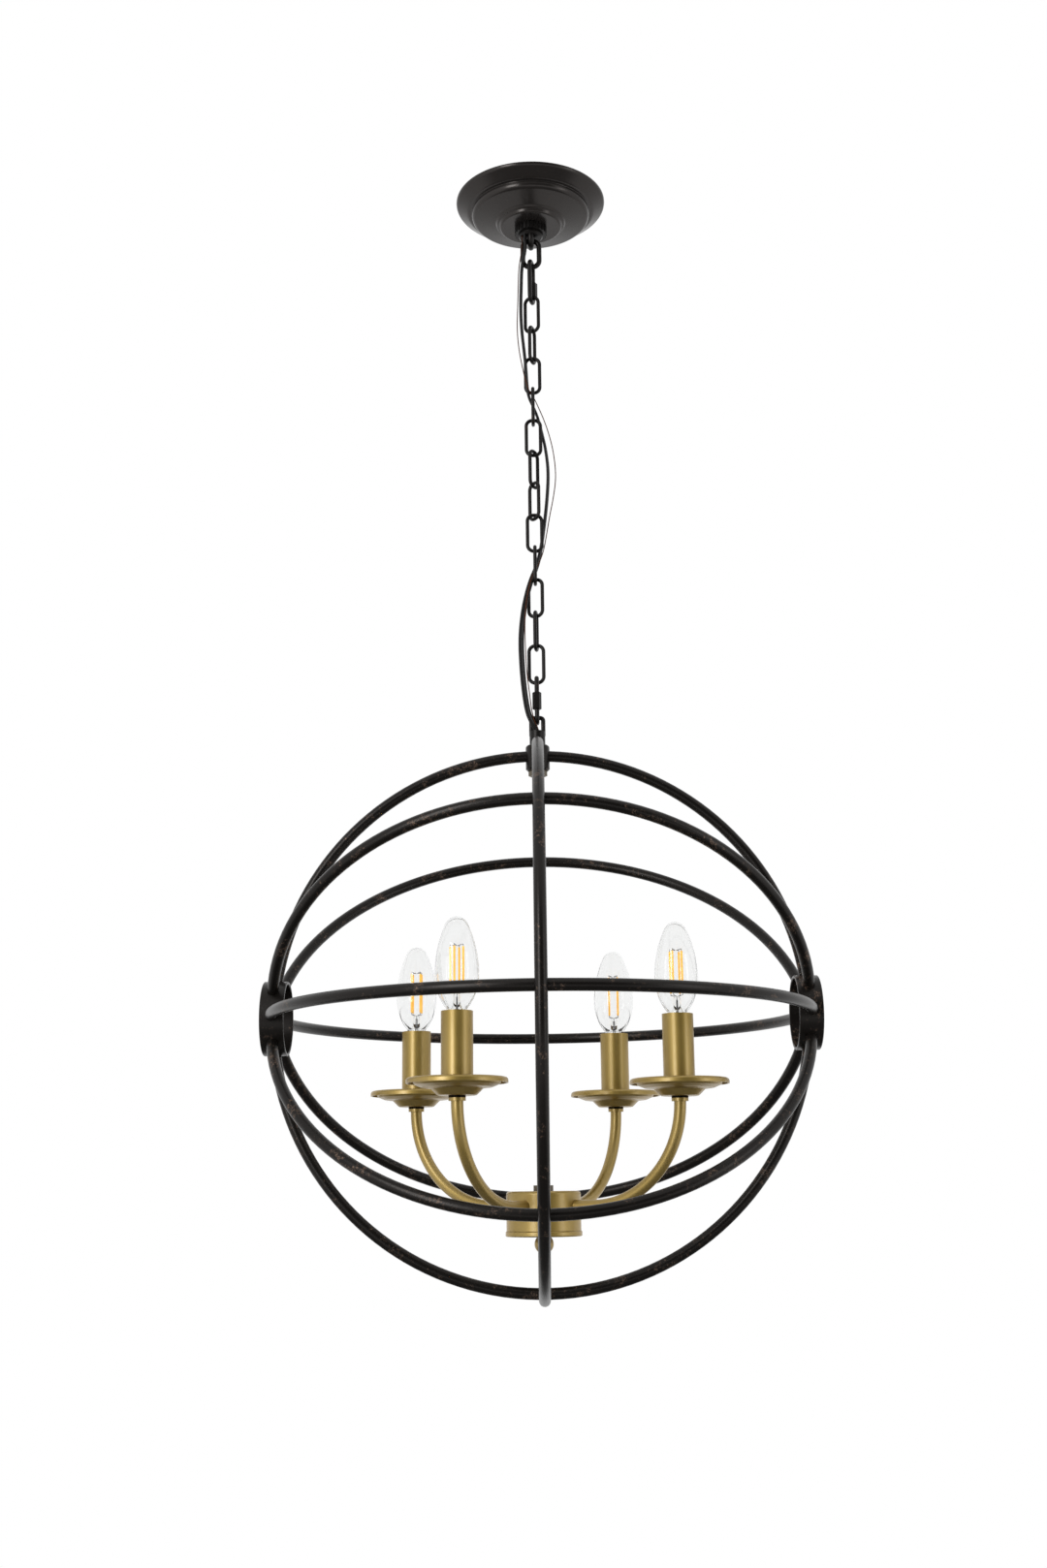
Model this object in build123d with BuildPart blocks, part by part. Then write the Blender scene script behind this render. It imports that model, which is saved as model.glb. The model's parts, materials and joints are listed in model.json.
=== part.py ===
from build123d import *

import os
from math import asin, cos, degrees, pi, radians, sin, sqrt, tan

# Orb pendant light: a stepped ceiling canopy, a chain with its cords, and a round
# cage of rods that holds a four-arm candle cluster. Millimetres, +Z up.
# The origin is the middle of the canopy's ceiling face.

# Clearances
thread_clearance = 0.08
play = 0.3

# Ceiling canopy, radii and depths below the ceiling
canopy_radius = 69.0
canopy_rim_depth = 2.2
canopy_shoulder_depth = 9.4
canopy_step_radius = 54.8
canopy_step_depth = 15.6
canopy_cup_radius = 29.6
canopy_cup_top_depth = 20.2
canopy_depth = 25.5
canopy_sheet = 1.5
canopy_rim_lean = 0.3
canopy_step_fillet = 3.6
canopy_bead = 0.4
canopy_cup_fillet = 3.0
canopy_cup_bead = 1.8
canopy_rounds = [3.2, 5.5, 0.6, 4.2, 0.6, 0.8, 0.4, 2.0]

# Ceiling bar, its slots and the threaded nipple
bar_length = 112.0
bar_width = 18.0
bar_thickness = 2.0
slot_spacing = 88.9
slot_length = 15.0
slot_width = 4.6
nipple_dia = 10.0
nipple_bore = 7.4
nipple_engagement = 12.0
nut_flats = 14.0
nut_height = 3.2
ground_screw_dia = 4.0
ground_screw_head_dia = 8.0
ground_screw_head_height = 2.4
ground_screw_x = 24.0

# Ribbed collar nut and the loop that it screws on to
collar_nut_dia = 29.5
collar_nut_height = 7.0
collar_rib_count = 24
collar_rib_groove_dia = 1.8
loop_body_dia = 22.6
loop_body_rise = 10.5
loop_body_drop = 10.5
loop_chamfer = 1.6
loop_bar_dia = 5.6
loop_radius = 7.0
loop_neck = 1.2

# Chain: wire, outside length and outside width of each kind of link
heavy_wire = 4.6
heavy_length = 31.3
heavy_width = 19.6
quick_wire = 4.0
quick_length = 44.0
quick_width = 17.0
chain_wire = 3.2
chain_length = 37.3
chain_width = 16.0
link_end_flat = 1.6

# How far each link's plane is turned about the vertical, in degrees
heavy_turn = 0.0
upper_quick_turn = 76.0
chain_turns = [-20.0, 70.0, 0.0, 90.0, 0.0, 58.0, 128.0, 184.0, 90.0, -20.0, 82.0, -8.0]
lower_quick_turn = 90.0

# Screw sleeves of the quick links
sleeve_flats = 6.8
sleeve_length = 15.5
sleeve_chamfer = 0.5
quick_gap = 7.0
upper_sleeve_drop = 5.8
lower_sleeve_drop = 2.1

# Eye and coupling on top of the cage
eye_bar = 3.8
eye_width = 14.2
eye_boss_dia = 13.6
eye_boss_height = 12.5
eye_window = 10.5
eye_corner = 2.6
eye_bore = 7.5
eye_shank = 7.0
coupling_dia = 20.7
coupling_length = 22.6
coupling_round = 2.5
coupling_chamfer = 1.5

# Cage of rods
rod_dia = 9.5
cage_radius = 224.0
ring_lap = 4.5
front_tilt = 41.65
back_tilt = 45.68
side_collar_dia = 62.0
side_collar_wall = 2.4
side_collar_length = 20.0
side_collar_chamfer = 0.6

# Stem and hub, depths below the middle of the cage
stem_dia = 9.5
stem_bore = 7.2
stem_plug = 4.0
stud_dia = 4.0
stud_length = 7.0
stem_nut_height = 4.6
hub_dia = 61.0
hub_top_drop = 143.0
hub_height = 31.5
hub_wall = 1.8
hub_round = 2.5
cover_dia = 62.6
cover_height = 4.5
cover_round = 1.2
finial_dia = 15.7
finial_drop = 13.8

# Arms and candles, heights from the middle of the cage
arm_dia = 9.6
arm_bore = 6.4
arm_drop = 155.0
arm_bend = 80.0
arm_reach = 127.0
arm_start = 24.6
arm_angles = [-31.0, 59.0, 149.0, 239.0]
arm_flange_dia = 13.4
arm_flange_height = 4.0
arm_stub = 11.5
arm_nut_dia = 14.5
arm_nut_height = 3.4
pan_radius = 39.5
pan_depth = 13.7
pan_sheet = 1.4
pan_floor_radius = 15.0
pan_bowl_radius = 20.5
pan_step_radius = 27.5
pan_wall_radius = 33.4
pan_bowl_rise = 5.4
pan_step_rise = 6.2
pan_wall_rise = 8.6
pan_slope = 1.4
pan_lip = 2.9
pan_rounds = [3.0, 2.0, 3.0, 2.2, 1.2, 1.0]
candle_dia = 25.0
candle_wall = 0.9
candle_height = 63.3
socket_dia = 20.4
socket_height = 55.6
socket_depth = 16.6

# Candle bulbs
bulb_dia = 35.0
bulb_length = 98.0
bulb_belly = 45.5
bulb_bowl = 27.0
bulb_tip_width = 17.5
bulb_neck_dia = 16.0
bulb_glass_wall = 0.9
bulb_base_dia = 14.0
bulb_base_length = 21.3
bulb_skirt_height = 4.0
bulb_foot_dia = 6.0
bulb_foot_height = 2.0
glass_stem_dia = 6.4
glass_stem_height = 18.4
filament_dia = 1.5
filament_length = 33.8
filament_circle = 10.8
filament_disc_dia = 12.6
filament_disc_height = 0.8

# Cords: the flat twin cord is drawn as a round tube of its mean size
cord_dia = 3.0
ground_wire_dia = 0.9
cord_arc_share = 0.45
cord_slot_length = 7.4
cord_slot_width = 3.4
cord_slot_place = (-6.2, -5.4)
cord_route = [
    (-5.5, -6.1, -28.0),
    (-5.5, -6.0, -38.0),
    (-5.0, -5.6, -49.0),
    (-7.0, -5.2, -59.0),
    (-8.9, -4.4, -70.0),
    (-9.4, -3.0, -86.0),
    (-10.2, -2.6, -108.0),
    (-9.6, -3.0, -130.0),
    (-7.6, -3.9, -151.0),
    (-6.0, -4.6, -169.0),
    (-5.2, -4.4, -188.0),
    (-3.6, -2.8, -198.5),
    (0.2, -0.4, -206.0),
    (4.2, 3.2, -215.0),
    (7.6, 4.6, -229.0),
    (11.2, 4.0, -247.0),
    (13.2, 2.6, -269.0),
    (11.6, 2.6, -295.0),
    (8.8, 3.8, -319.0),
    (5.9, 4.4, -339.0),
    (3.4, 3.5, -352.0),
    (0.2, 0.6, -363.0),
    (-3.4, -3.2, -373.0),
    (-7.2, -4.6, -386.0),
    (-11.0, -4.0, -404.0),
    (-13.4, -2.8, -427.0),
    (-12.7, -3.0, -453.0),
    (-10.8, -3.8, -477.0),
    (-8.0, -4.8, -496.0),
    (-4.2, -4.4, -504.5),
    (-1.2, -1.3, -510.2),
    (-1.0, -0.4, -517.0),
    (-0.9, -0.2, -523.6),
]
ground_route = [
    (-7.8, -3.7, -28.0),
    (-7.9, -3.9, -38.0),
    (-8.2, -4.6, -49.0),
    (-9.8, -5.4, -59.0),
    (-11.6, -4.6, -70.0),
    (-12.1, -3.2, -86.0),
    (-12.9, -2.6, -107.0),
    (-13.8, -2.8, -131.0),
    (-12.0, -3.9, -153.0),
    (-8.9, -5.4, -171.0),
    (-6.6, -6.8, -183.0),
    (-3.9, -6.3, -192.0),
    (0.8, -2.6, -198.0),
    (4.6, 0.4, -205.5),
    (9.6, 3.0, -217.0),
    (14.2, 4.0, -231.0),
    (18.2, 3.2, -250.0),
    (20.1, 2.4, -273.0),
    (17.4, 2.4, -293.0),
    (13.4, 3.0, -312.0),
    (10.4, 3.2, -330.0),
    (7.8, 2.0, -344.0),
    (4.6, -0.4, -354.5),
    (0.6, -2.6, -363.0),
    (-3.2, -5.8, -372.0),
    (-6.2, -7.0, -383.0),
    (-8.6, -6.8, -397.0),
    (-9.9, -5.2, -417.0),
    (-9.4, -3.6, -439.0),
    (-8.6, -4.0, -459.0),
    (-6.4, -5.2, -478.0),
    (-4.9, -6.6, -493.0),
    (-2.6, -5.8, -504.0),
    (1.0, -2.5, -509.8),
    (1.9, -0.7, -516.5),
    (1.8, -0.3, -523.0),
]

os.makedirs("parts", exist_ok=True)


def save(piece, name):
    """Label a finished piece and write it to its own file."""
    piece.part.label = name
    export_step(piece.part, f"parts/{name}.step")


def level(height):
    """A horizontal plane at a height."""
    return Plane.XY.offset(height)


# Heights that follow from the sizes above
collar_nut_top = -canopy_depth - 0.5 * play
loop_body_top = -canopy_depth + loop_body_rise
loop_body_bottom = -canopy_depth - loop_body_drop
loop_centre = loop_body_bottom - loop_neck
loop_bottom = loop_centre - loop_radius - loop_bar_dia / 2

# The stack of links: name, wire, length, width, turn
links = [("loop_link", heavy_wire, heavy_length, heavy_width, heavy_turn)]
links.append(("quick_link_upper", quick_wire, quick_length, quick_width, upper_quick_turn))
for number, turn in enumerate(chain_turns, start=1):
    links.append((f"chain_link_{number:02d}", chain_wire, chain_length, chain_width, turn))
links.append(("quick_link_lower", quick_wire, quick_length, quick_width, lower_quick_turn))

# Each link hangs on the wire of the one above: its top, its bottom, and the pivot that it swings on
link_top = {}
pivots = [("loop_link", loop_bottom + loop_bar_dia / 2, 90.0)]
seat = loop_bottom + loop_bar_dia
for name, wire, length, width, turn in links:
    link_top[name] = seat + play + wire
    seat = link_top[name] - length + wire
    pivots.append((name, seat - wire / 2, turn))

# The orb hangs on the last link
eye_inner_top = seat + play
eye_boss_top = eye_inner_top - eye_window
coupling_top = eye_boss_top - eye_boss_height
ring_radius = cage_radius + rod_dia - ring_lap
coupling_radius = coupling_dia / 2
orb_z = coupling_top - sqrt(ring_radius**2 - coupling_radius**2) - rod_dia / 2
orb_centre = Vector(0, 0, orb_z)
coupling_bottom = coupling_top - coupling_length

# Canopy: one spun sheet with a rolled rim, a rounded step and a small cup
canopy_corners = [
    (canopy_radius + canopy_bead - canopy_rim_lean, 0),
    (canopy_radius + canopy_bead, -canopy_rim_depth),
    (canopy_step_radius + canopy_step_fillet, -canopy_shoulder_depth),
    (canopy_step_radius, -canopy_shoulder_depth - canopy_bead),
    (canopy_step_radius, -canopy_step_depth),
    (canopy_cup_radius + canopy_cup_fillet, -canopy_cup_top_depth),
    (canopy_cup_radius + canopy_cup_fillet / 2, -canopy_cup_top_depth - canopy_cup_bead),
    (canopy_cup_radius, -canopy_cup_top_depth - canopy_cup_bead - canopy_bead),
    (canopy_cup_radius - canopy_cup_fillet / 2, -canopy_depth),
    (loop_body_dia / 2 + play, -canopy_depth),
]

with BuildPart() as canopy:
    with BuildSketch(Plane.XZ) as canopy_section:
        with BuildLine() as canopy_outline:
            FilletPolyline(*canopy_corners, radius=canopy_rounds)
            offset(amount=canopy_sheet, side=Side.RIGHT)
        make_face()
    revolve(axis=Axis.Z)
save(canopy, "canopy")

# Ceiling bar with two slots for the box screws
with BuildPart() as mounting_bar:
    with BuildSketch(level(-bar_thickness)) as bar_outline:
        SlotOverall(bar_length, bar_width)
        with Locations((-slot_spacing / 2, 0), (slot_spacing / 2, 0)):
            SlotOverall(slot_length, slot_width, mode=Mode.SUBTRACT)
        Circle(nipple_dia / 2 + thread_clearance, mode=Mode.SUBTRACT)
        with Locations((ground_screw_x, 0)):
            Circle(ground_screw_dia / 2 + thread_clearance, mode=Mode.SUBTRACT)
    extrude(amount=bar_thickness)
save(mounting_bar, "mounting_bar")

# Threaded tube from the bar down into the loop
nipple_bottom = loop_body_top - nipple_engagement
with BuildPart() as nipple:
    with BuildSketch(level(nipple_bottom)) as nipple_section:
        Circle(nipple_dia / 2)
        Circle(nipple_bore / 2, mode=Mode.SUBTRACT)
    extrude(amount=-nipple_bottom)
save(nipple, "nipple")

# Lock nuts under the bar and on top of the loop
with BuildPart() as lock_nuts:
    for height in (-bar_thickness - nut_height, loop_body_top):
        with BuildSketch(level(height)) as lock_nut_section:
            RegularPolygon(nut_flats / 2, 6, major_radius=False)
            Circle(nipple_dia / 2 + thread_clearance, mode=Mode.SUBTRACT)
        extrude(amount=nut_height)
save(lock_nuts, "lock_nuts")

# Earth screw in the bar
with BuildPart() as ground_screw:
    with BuildSketch(level(-bar_thickness - ground_screw_head_height)) as screw_head:
        with Locations((ground_screw_x, 0)):
            Circle(ground_screw_head_dia / 2)
    extrude(amount=ground_screw_head_height)
    with BuildSketch(level(-bar_thickness)) as screw_shank:
        with Locations((ground_screw_x, 0)):
            Circle(ground_screw_dia / 2)
    extrude(amount=bar_thickness)
save(ground_screw, "ground_screw")

# Ribbed nut that clamps the canopy
with BuildPart() as collar_nut:
    with BuildSketch(level(collar_nut_top - collar_nut_height)) as nut_section:
        Circle(collar_nut_dia / 2)
        with PolarLocations(collar_nut_dia / 2, collar_rib_count):
            Circle(collar_rib_groove_dia / 2, mode=Mode.SUBTRACT)
        Circle(loop_body_dia / 2 + thread_clearance, mode=Mode.SUBTRACT)
    extrude(amount=collar_nut_height)
save(collar_nut, "collar_nut")

# Threaded body with its U-shaped loop, bored for the nipple and slotted for the cords
with BuildPart() as canopy_loop:
    with BuildSketch(level(loop_body_bottom)) as loop_body_section:
        Circle(loop_body_dia / 2)
    extrude(amount=loop_body_top - loop_body_bottom)
    chamfer(canopy_loop.edges().group_by(Axis.Z)[0], loop_chamfer)
    with BuildLine(Plane.YZ) as loop_path:
        legs_top = loop_body_bottom + loop_bar_dia / 2
        down = Line((-loop_radius, legs_top), (-loop_radius, loop_centre))
        bow = RadiusArc(down @ 1, (loop_radius, loop_centre), -loop_radius)
        Line(bow @ 1, (loop_radius, legs_top))
    with BuildSketch(Plane(origin=loop_path.line @ 0, z_dir=loop_path.line % 0)):
        Circle(loop_bar_dia / 2)
    sweep(path=loop_path.line)
    with BuildSketch(level(loop_body_top)) as nipple_bore_section:
        Circle(nipple_dia / 2 + thread_clearance)
    extrude(amount=-nipple_engagement - play, mode=Mode.SUBTRACT)
    slot_x, slot_y = cord_slot_place
    slot_top = (slot_x, slot_y, loop_body_top)
    slot_plane = Plane(origin=slot_top, x_dir=(-slot_y, slot_x, 0), z_dir=(0, 0, 1))
    with BuildSketch(slot_plane) as cord_slot_section:
        SlotOverall(cord_slot_length, cord_slot_width)
    extrude(amount=loop_body_bottom - loop_body_top, mode=Mode.SUBTRACT)
save(canopy_loop, "canopy_loop")


def link_plane(name, length, turn):
    """The upright plane that a link lies in, centred on the link."""
    across = (cos(radians(turn)), sin(radians(turn)), 0)
    return Plane(
        origin=(0, 0, link_top[name] - length / 2),
        x_dir=across,
        z_dir=(across[1], -across[0], 0),
    )


def oval_link(plane, wire, length, width):
    """A closed oval of round wire in an upright plane."""
    half_width = (width - wire) / 2
    half_length = (length - wire) / 2
    with BuildPart() as link:
        with BuildLine(plane) as path:
            corner = half_width - link_end_flat / 2
            flat = link_end_flat / 2
            straight = half_length - corner
            right = Line((half_width, -straight), (half_width, straight))
            upper_right = RadiusArc(right @ 1, (flat, half_length), -corner)
            upper = Line(upper_right @ 1, (-flat, half_length))
            upper_left = RadiusArc(upper @ 1, (-half_width, straight), -corner)
            left = Line(upper_left @ 1, (-half_width, -straight))
            lower_left = RadiusArc(left @ 1, (-flat, -half_length), -corner)
            lower = Line(lower_left @ 1, (flat, -half_length))
            RadiusArc(lower @ 1, right @ 0, -corner)
        with BuildSketch(Plane(origin=path.line @ 0, z_dir=path.line % 0)):
            Circle(wire / 2)
        sweep(path=path.line)
    return link


def quick_link(plane, wire, length, width, side, drop):
    """An oval link with one leg cut open under its screw sleeve."""
    link = oval_link(plane, wire, length, width)
    gap_plane = plane.shift_origin(plane.from_local_coords((side * (width - wire) / 2, -drop, 0)))
    with BuildPart() as opened:
        add(link.part)
        with BuildSketch(gap_plane) as gap:
            Rectangle(2 * wire, quick_gap)
        extrude(amount=wire, both=True, mode=Mode.SUBTRACT)
    return opened


def screw_sleeve(plane, wire, width, side, drop):
    """The hexagonal sleeve that closes a quick link."""
    foot = plane.from_local_coords((side * (width - wire) / 2, -drop - sleeve_length / 2, 0))
    with BuildPart() as sleeve:
        with BuildSketch(Plane(origin=foot, z_dir=(0, 0, 1))) as sleeve_section:
            RegularPolygon(sleeve_flats / 2, 6, major_radius=False)
        extrude(amount=sleeve_length)
        ends = sleeve.faces().filter_by(Axis.Z).edges()
        chamfer(ends, sleeve_chamfer)
        with BuildSketch(Plane(origin=foot, z_dir=(0, 0, 1))) as sleeve_bore:
            Circle(wire / 2 + thread_clearance)
        extrude(amount=sleeve_length, mode=Mode.SUBTRACT)
    return sleeve


# Plain and heavy links
for name, wire, length, width, turn in links:
    if not name.startswith("quick"):
        save(oval_link(link_plane(name, length, turn), wire, length, width), name)

# Quick links: the upper one's sleeve is on its back leg, the lower one's on its front leg
quick_sides = {
    "upper": (1, upper_quick_turn, upper_sleeve_drop),
    "lower": (-1, lower_quick_turn, lower_sleeve_drop),
}
sleeve_axes = {}
for place, (side, turn, drop) in quick_sides.items():
    plane = link_plane(f"quick_link_{place}", quick_length, turn)
    save(quick_link(plane, quick_wire, quick_length, quick_width, side, drop), f"quick_link_{place}")
    save(screw_sleeve(plane, quick_wire, quick_width, side, drop), f"quick_sleeve_{place}")
    sleeve_axes[place] = plane.from_local_coords((side * (quick_width - quick_wire) / 2, -drop, 0))


def cord(route, dia, name):
    """A round tube along straight runs joined by tangent arcs, as large as the runs allow."""
    points = [Vector(*place) for place in route]
    radii = []
    for before, corner, after in zip(points, points[1:], points[2:]):
        turn = (corner - before).get_angle(after - corner)
        shorter = min((corner - before).length, (after - corner).length)
        radii.append(cord_arc_share * shorter / tan(radians(turn / 2)))
    with BuildPart() as tube:
        with BuildLine() as path:
            FilletPolyline(*points, radius=radii)
        with BuildSketch(Plane(origin=path.line @ 0, z_dir=path.line % 0)):
            Circle(dia / 2)
        sweep(path=path.line)
    length = sum(edge.length for edge in path.edges())
    share = tube.part.volume / (pi * dia**2 / 4 * length)
    print(f"{name}: length {length:.1f}, volume over section times length {share:.4f}")
    print(f"{name}: radii", " ".join(f"{radius:.0f}" for radius in radii))
    return tube


save(cord(cord_route, cord_dia, "power_cord"), "power_cord")
save(cord(ground_route, ground_wire_dia, "ground_wire"), "ground_wire")

# Eye on top of the cage: a boss with a squared loop, bored for the cords
eye_half = (eye_width - eye_bar) / 2
with BuildPart() as top_eye:
    with BuildSketch(level(coupling_top)) as eye_boss_section:
        Circle(eye_boss_dia / 2)
    extrude(amount=eye_boss_height)
    with BuildSketch(level(coupling_top)) as eye_shank_section:
        Circle(stem_dia / 2)
    extrude(amount=-eye_shank)
    with BuildLine(Plane.XZ) as eye_path:
        FilletPolyline(
            (-eye_half, eye_boss_top - eye_bar),
            (-eye_half, eye_inner_top + eye_bar / 2),
            (eye_half, eye_inner_top + eye_bar / 2),
            (eye_half, eye_boss_top - eye_bar),
            radius=eye_corner,
        )
    with BuildSketch(Plane(origin=eye_path.line @ 0, z_dir=eye_path.line % 0)):
        Circle(eye_bar / 2)
    sweep(path=eye_path.line)
    with BuildSketch(level(coupling_top - eye_shank)) as eye_bore_section:
        Circle(eye_bore / 2)
    extrude(amount=eye_shank + eye_boss_height, mode=Mode.SUBTRACT)
save(top_eye, "top_eye")

# Coupling that the top rods are welded to
with BuildPart() as top_coupling:
    with BuildSketch(level(coupling_bottom)) as coupling_section:
        Circle(coupling_radius)
    extrude(amount=coupling_length)
    fillet(top_coupling.edges().group_by(Axis.Z)[-1], coupling_round)
    chamfer(top_coupling.edges().group_by(Axis.Z)[0], coupling_chamfer)
    with BuildSketch(level(coupling_bottom)) as coupling_bore_section:
        Circle(stem_dia / 2 + thread_clearance)
    extrude(amount=coupling_length, mode=Mode.SUBTRACT)
save(top_coupling, "top_coupling")

# Side collars: short tubes on the cage's cross axis
side_collar_radius = side_collar_dia / 2
side_collar_x = sqrt(cage_radius**2 - side_collar_radius**2)
for side, name in ((-1, "side_collar_left"), (1, "side_collar_right")):
    collar_plane = Plane(origin=(side * side_collar_x, 0, orb_z), z_dir=(1, 0, 0))
    with BuildPart() as side_collar:
        with BuildSketch(collar_plane) as collar_section:
            Circle(side_collar_radius)
            Circle(side_collar_radius - side_collar_wall, mode=Mode.SUBTRACT)
        extrude(amount=side_collar_length / 2, both=True)
        chamfer(side_collar.edges().filter_by(GeomType.CIRCLE), side_collar_chamfer)
    save(side_collar, name)

# Half rings: each runs from collar to collar at its own angle about the cross axis.
# 0 degrees is the back, 90 the top and 180 the front.
half_rings = {
    "half_ring_back": 0.0,
    "half_ring_back_upper": back_tilt,
    "half_ring_top": 90.0,
    "half_ring_front_upper": 180.0 - front_tilt,
    "half_ring_front": 180.0,
    "half_ring_front_lower": 180.0 + back_tilt,
    "half_ring_bottom": 270.0,
    "half_ring_back_lower": -front_tilt,
}
for name, angle in half_rings.items():
    away = Vector(0, cos(radians(angle)), sin(radians(angle)))
    square = Vector(0, -sin(radians(angle)), cos(radians(angle)))
    with BuildPart() as half_ring:
        start = orb_centre + Vector(cage_radius, 0, 0)
        with BuildSketch(Plane(origin=start, x_dir=(1, 0, 0), z_dir=away)) as rod_section:
            Circle(rod_dia / 2)
        revolve(axis=Axis(orb_centre, square), revolution_arc=180)
        for side in (-1, 1):
            weld = Plane(origin=(side * side_collar_x, 0, orb_z), z_dir=(1, 0, 0))
            with BuildSketch(weld) as cope:
                Circle(side_collar_radius)
            extrude(amount=side_collar_length, both=True, mode=Mode.SUBTRACT)
        if name == "half_ring_top":
            with BuildSketch(level(coupling_bottom)) as gap:
                Circle(coupling_radius)
            extrude(amount=coupling_length + rod_dia, mode=Mode.SUBTRACT)
    save(half_ring, name)

# Outer ring: upright, open at the coupling and notched over the other half rings
ring_opening = degrees(asin(coupling_radius / 2 / ring_radius))
with BuildPart() as outer_ring:
    opening_end = radians(90 + ring_opening)
    away = Vector(0, cos(opening_end), sin(opening_end))
    ring_start = orb_centre + away * ring_radius
    along = away.cross(Vector(1, 0, 0))
    with BuildSketch(Plane(origin=ring_start, x_dir=(1, 0, 0), z_dir=along)) as ring_section:
        Circle(rod_dia / 2)
    revolve(axis=Axis(orb_centre, (1, 0, 0)), revolution_arc=360 - 2 * ring_opening)
    for name, angle in half_rings.items():
        if name != "half_ring_top":
            away = Vector(0, cos(radians(angle)), sin(radians(angle)))
            notch_middle = orb_centre + away * cage_radius
            with BuildSketch(Plane(origin=notch_middle, x_dir=away, z_dir=(1, 0, 0))) as notch:
                Circle(rod_dia / 2)
            extrude(amount=rod_dia, both=True, mode=Mode.SUBTRACT)
    with BuildSketch(level(coupling_bottom)) as ring_gap:
        Circle(coupling_radius)
    extrude(amount=coupling_length + rod_dia, mode=Mode.SUBTRACT)
save(outer_ring, "outer_ring")

# Stem from the coupling through the hub, plugged and drawn down to a stud
hub_top = orb_z - hub_top_drop
hub_bottom = hub_top - hub_height
cover_bottom = hub_bottom - cover_height
stem_top = coupling_top - eye_shank - play
stem_bottom = hub_bottom
with BuildPart() as stem:
    with BuildSketch(level(stem_bottom)) as stem_section:
        Circle(stem_dia / 2)
    extrude(amount=stem_top - stem_bottom)
    with BuildSketch(level(stem_bottom + stem_plug)) as stem_bore_section:
        Circle(stem_bore / 2)
    extrude(amount=stem_top - stem_bottom - stem_plug, mode=Mode.SUBTRACT)
    with BuildSketch(level(stem_bottom)) as stud_section:
        Circle(stud_dia / 2)
    extrude(amount=-cover_height - stud_length)
save(stem, "stem")

# Stem nuts: under the coupling, on the hub and inside it
with BuildPart() as stem_nuts:
    nut_floors = (coupling_bottom - stem_nut_height, hub_top, hub_top - hub_wall - stem_nut_height)
    for height in nut_floors:
        with BuildSketch(level(height)) as stem_nut_section:
            RegularPolygon(nut_flats / 2, 6, major_radius=False)
            Circle(stem_dia / 2 + thread_clearance, mode=Mode.SUBTRACT)
        extrude(amount=stem_nut_height)
save(stem_nuts, "stem_nuts")


def spoke_plane(azimuth):
    """The upright plane of an arm: x runs outwards from the stem, y is up."""
    out = (sin(radians(azimuth)), -cos(radians(azimuth)), 0)
    return Plane(origin=orb_centre, x_dir=out, z_dir=(out[1], -out[0], 0))


def candle_place(azimuth, height):
    """A horizontal plane on a candle's axis, at a height from the middle of the cage."""
    return Plane(origin=spoke_plane(azimuth).from_local_coords((arm_reach, height, 0)), z_dir=(0, 0, 1))


# Hub: a spun cup, open below, drilled for the arms
with BuildPart() as hub_body:
    with BuildSketch(level(hub_bottom)) as hub_section:
        Circle(hub_dia / 2)
    extrude(amount=hub_height)
    fillet(hub_body.edges().group_by(Axis.Z)[-1], hub_round)
    with BuildSketch(level(hub_bottom)) as hub_hollow:
        Circle(hub_dia / 2 - hub_wall)
    extrude(amount=hub_height - hub_wall, mode=Mode.SUBTRACT)
    with BuildSketch(level(hub_top)) as hub_stem_hole:
        Circle(stem_dia / 2 + thread_clearance)
    extrude(amount=-hub_height, mode=Mode.SUBTRACT)
    for azimuth in arm_angles:
        spoke = spoke_plane(azimuth)
        hole_start = spoke.from_local_coords((arm_start, -arm_drop, 0))
        with BuildSketch(Plane(origin=hole_start, z_dir=spoke.x_dir)) as arm_hole:
            Circle(arm_dia / 2 + thread_clearance)
        extrude(amount=hub_dia / 2, mode=Mode.SUBTRACT)
save(hub_body, "hub_body")

# Hub cover and the ball that holds it
with BuildPart() as hub_cover:
    with BuildSketch(level(cover_bottom)) as cover_section:
        Circle(cover_dia / 2)
    extrude(amount=cover_height)
    fillet(hub_cover.edges().filter_by(GeomType.CIRCLE), cover_round)
    with BuildSketch(level(cover_bottom)) as cover_hole:
        Circle(stud_dia / 2 + thread_clearance)
    extrude(amount=cover_height, mode=Mode.SUBTRACT)
save(hub_cover, "hub_cover")

finial_bottom = cover_bottom - finial_drop
finial_top = cover_bottom - 0.5 * play
finial_centre = finial_bottom + finial_dia / 2
with BuildPart() as finial:
    with Locations((0, 0, finial_centre)):
        Sphere(finial_dia / 2)
    with BuildSketch(level(finial_top)) as flat:
        Circle(finial_dia)
    extrude(amount=finial_dia, mode=Mode.SUBTRACT)
    with BuildSketch(level(finial_top)) as stud_hole:
        Circle(stud_dia / 2 + thread_clearance)
    extrude(amount=-stud_length - play, mode=Mode.SUBTRACT)
save(finial, "finial")

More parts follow.
